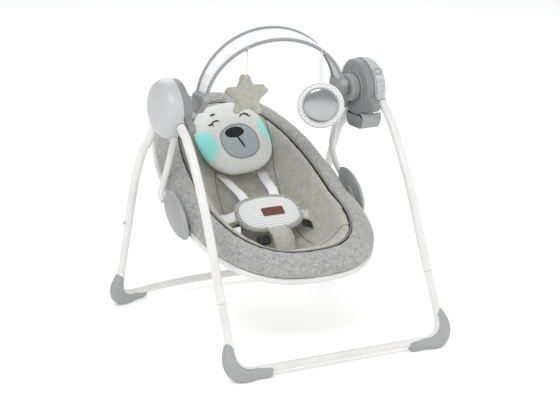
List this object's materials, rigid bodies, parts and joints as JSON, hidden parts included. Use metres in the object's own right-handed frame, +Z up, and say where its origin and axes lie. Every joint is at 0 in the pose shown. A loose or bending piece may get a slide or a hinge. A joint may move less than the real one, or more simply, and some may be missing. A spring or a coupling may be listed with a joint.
{
  "type": "baby swing",
  "caption": "Folding electric baby swing with a tube stand, hub units, a padded reclining bucket seat with harness, a head cushion and a toy bar with hanging toys.",
  "frame": {"origin": "on the floor, under the middle of the whole swing's bounding box", "axes": "+Z up, -Y towards the front of the seat (the baby's feet), X along the swing axis with +X at the hub with the controls"},
  "size_m": [0.5798, 0.7378, 0.7014],
  "materials": {
    "white_tube": "satin white powder coat",
    "grey_plastic": "fine matt moulded",
    "light_plastic": "satin moulded",
    "dark_plastic": "matt moulded",
    "black_plastic": "matt moulded",
    "steel": "bright zinc plated",
    "copper": "enamelled winding wire",
    "battery": "printed sleeve, plain",
    "board": "solder mask",
    "melange": "grey melange weave",
    "velour": "beige grey velour",
    "plush": "off-white printed plush",
    "chevron": "white fabric with a woven zigzag",
    "webbing": "white woven webbing",
    "toy_wire": "grey bias binding over spring wire",
    "mesh": "white knitted mesh",
    "star_plush": "beige velour plush",
    "mirror": "vacuum metallised convex"
  },
  "bodies": {
    "stand": {"front_leg_left": "white_tube", "front_leg_right": "white_tube", "front_floor_tube": "white_tube", "foot_front_left": "grey_plastic", "foot_front_right": "grey_plastic", "hub_housing_left": "dark_plastic", "hub_housing_right": "dark_plastic", "hub_cover_left": "light_plastic", "hub_cover_right": "light_plastic", "axle_bush_left": "black_plastic", "axle_bush_right": "black_plastic", "drive_coil": "copper", "circuit_board": "board", "speaker": "black_plastic", "battery_box": "grey_plastic", "battery_pack": "battery", "control_panel": "light_plastic"},
    "rear_frame": {"rear_leg_left": "white_tube", "rear_leg_right": "white_tube", "rear_floor_tube": "white_tube", "foot_rear_left": "grey_plastic", "foot_rear_right": "grey_plastic", "fold_pin_left": "steel", "fold_pin_right": "steel"},
    "snap_left": {"leg_snap_button_left": "steel"},
    "snap_right": {"leg_snap_button_right": "steel"},
    "power_key": {"power_button": "light_plastic"},
    "music_key": {"music_button": "light_plastic"},
    "timer_key": {"timer_button": "light_plastic"},
    "battery_lid": {"battery_door": "dark_plastic"},
    "swing": {"swing_axle_left": "steel", "swing_axle_right": "steel", "arm_hub_left": "grey_plastic", "arm_hub_right": "grey_plastic", "arm_tube_left": "white_tube", "arm_tube_right": "white_tube", "recline_cover_left": "grey_plastic", "recline_cover_right": "grey_plastic", "drive_lever": "black_plastic", "drive_magnet": "steel"},
    "seat": {"recline_plate_left": "grey_plastic", "recline_plate_right": "grey_plastic", "seat_frame_front": "white_tube", "seat_frame_back": "white_tube", "seat_border": "melange", "seat_pad": "velour", "head_cushion": "plush", "belly_pad": "chevron", "shoulder_strap_left": "webbing", "shoulder_strap_right": "webbing", "crotch_strap": "velour", "harness_buckle": "black_plastic"},
    "toy_bar": {"toy_bar_socket_left": "grey_plastic", "toy_bar_socket_right": "grey_plastic", "toy_bar_wire_rear": "toy_wire", "toy_bar_wire_front": "toy_wire", "toy_bar_band": "mesh"},
    "star": {"star_toy": "star_plush"},
    "mirror": {"mirror_ring": "chevron", "mirror_disc": "mirror"}
  },
  "joints": [
    {"name": "frame_fold", "type": "hinge", "parent": "stand", "child": "rear_frame", "pos_m": [0, 0.0672, 0.499], "axis": [-1, 0, 0], "range_deg": [0, 42]},
    {"name": "swing_pivot", "type": "hinge", "parent": "stand", "child": "swing", "pos_m": [0, 0.0012, 0.539], "axis": [1, 0, 0], "range_deg": [-14, 14]},
    {"name": "seat_recline", "type": "hinge", "parent": "swing", "child": "seat", "pos_m": [0, 0.0137, 0.284], "axis": [-1, 0, 0], "range_deg": [0, 15]},
    {"name": "toy_bar_tilt", "type": "hinge", "parent": "swing", "child": "toy_bar", "pos_m": [0, 0.0012, 0.539], "axis": [1, 0, 0], "range_deg": [-40, 25]},
    {"name": "star_hang", "type": "hinge", "parent": "toy_bar", "child": "star", "pos_m": [-0.073, -0.0363, 0.66577], "axis": [1, 0, 0], "range_deg": [-30, 30]},
    {"name": "mirror_hang", "type": "hinge", "parent": "toy_bar", "child": "mirror", "pos_m": [0.117, -0.0363, 0.64375], "axis": [1, 0, 0], "range_deg": [-30, 30]},
    {"name": "power_press", "type": "slide", "parent": "stand", "child": "power_key", "axis": [0, 0.788, -0.6157], "range_m": [0, 0.001], "stiffness_N_per_m": 400},
    {"name": "music_press", "type": "slide", "parent": "stand", "child": "music_key", "axis": [0, 0.9397, -0.342], "range_m": [0, 0.001], "stiffness_N_per_m": 400},
    {"name": "timer_press", "type": "slide", "parent": "stand", "child": "timer_key", "axis": [0, 0.9397, -0.342], "range_m": [0, 0.001], "stiffness_N_per_m": 400},
    {"name": "snap_left_press", "type": "slide", "parent": "rear_frame", "child": "snap_left", "axis": [1, 0, 0], "range_m": [0, 0.003], "stiffness_N_per_m": 400},
    {"name": "snap_right_press", "type": "slide", "parent": "rear_frame", "child": "snap_right", "axis": [-1, 0, 0], "range_m": [0, 0.003], "stiffness_N_per_m": 400},
    {"name": "battery_slide", "type": "slide", "parent": "stand", "child": "battery_lid", "axis": [0, 0, -1], "range_m": [0, 0.028]}
  ]
}
